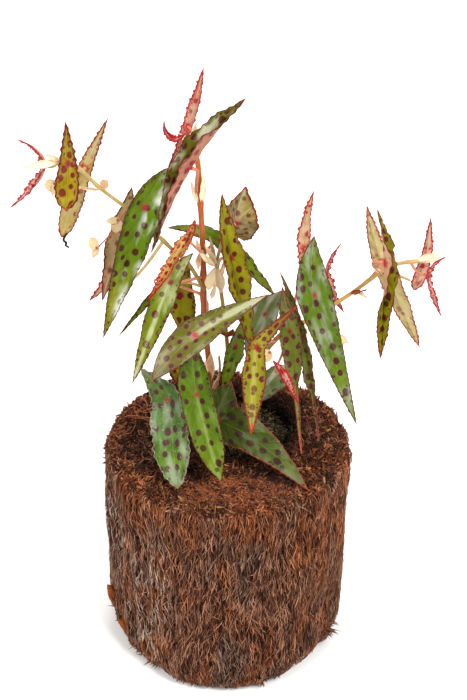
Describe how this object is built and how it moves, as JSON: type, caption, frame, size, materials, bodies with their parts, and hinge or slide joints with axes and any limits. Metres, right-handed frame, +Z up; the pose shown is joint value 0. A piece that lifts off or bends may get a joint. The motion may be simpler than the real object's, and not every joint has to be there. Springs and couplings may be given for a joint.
{
  "type": "potted begonia plant",
  "caption": "Begonia plant with narrow two-pointed spotted leaves on thin branching stems, rooted in a round block of brown tree-fern root fibre.",
  "frame": {"origin": "centre of the fibre block's flat underside", "axes": "+Z up from the flat underside to the top leaf, -Y to the front, +X to the right"},
  "size_m": [0.195, 0.1265, 0.298],
  "materials": {
    "root_fibre": "rough",
    "mossy_soil": "rough",
    "orange_stem": "satin",
    "ochre_stem": "satin",
    "green_leaf": "satin",
    "yellow_green_leaf": "satin",
    "young_red_leaf": "satin",
    "cream_tepal": "matte"
  },
  "bodies": {
    "root": {"pot": "root_fibre", "soil": "mossy_soil", "main_stem": "orange_stem", "second_stem": "ochre_stem", "right_stem": "ochre_stem", "left_leaf_01": "yellow_green_leaf", "left_leaf_02": "yellow_green_leaf", "left_leaf_03": "young_red_leaf", "left_leaf_04": "green_leaf", "left_leaf_05": "green_leaf", "left_leaf_06": "green_leaf", "main_leaf_01": "young_red_leaf", "main_leaf_02": "young_red_leaf", "main_leaf_03": "green_leaf", "main_leaf_04": "young_red_leaf", "main_leaf_05": "green_leaf", "main_leaf_06": "green_leaf", "main_leaf_07": "yellow_green_leaf", "main_leaf_08": "green_leaf", "main_leaf_09": "green_leaf", "main_leaf_10": "green_leaf", "main_leaf_11": "green_leaf", "main_leaf_12": "green_leaf", "main_leaf_13": "green_leaf", "right_leaf_01": "green_leaf", "right_leaf_02": "yellow_green_leaf", "right_leaf_03": "young_red_leaf", "right_leaf_04": "yellow_green_leaf", "right_leaf_05": "green_leaf", "right_leaf_06": "young_red_leaf", "right_leaf_07": "young_red_leaf", "right_leaf_08": "yellow_green_leaf", "right_leaf_09": "green_leaf", "right_leaf_10": "green_leaf", "right_leaf_11": "young_red_leaf", "right_leaf_12": "green_leaf", "second_leaf_01": "yellow_green_leaf", "second_leaf_02": "yellow_green_leaf", "second_leaf_03": "green_leaf", "second_leaf_04": "green_leaf", "flower_01": "cream_tepal", "flower_02": "cream_tepal", "flower_03": "cream_tepal", "flower_04": "cream_tepal", "flower_05": "cream_tepal"}
  },
  "joints": []
}
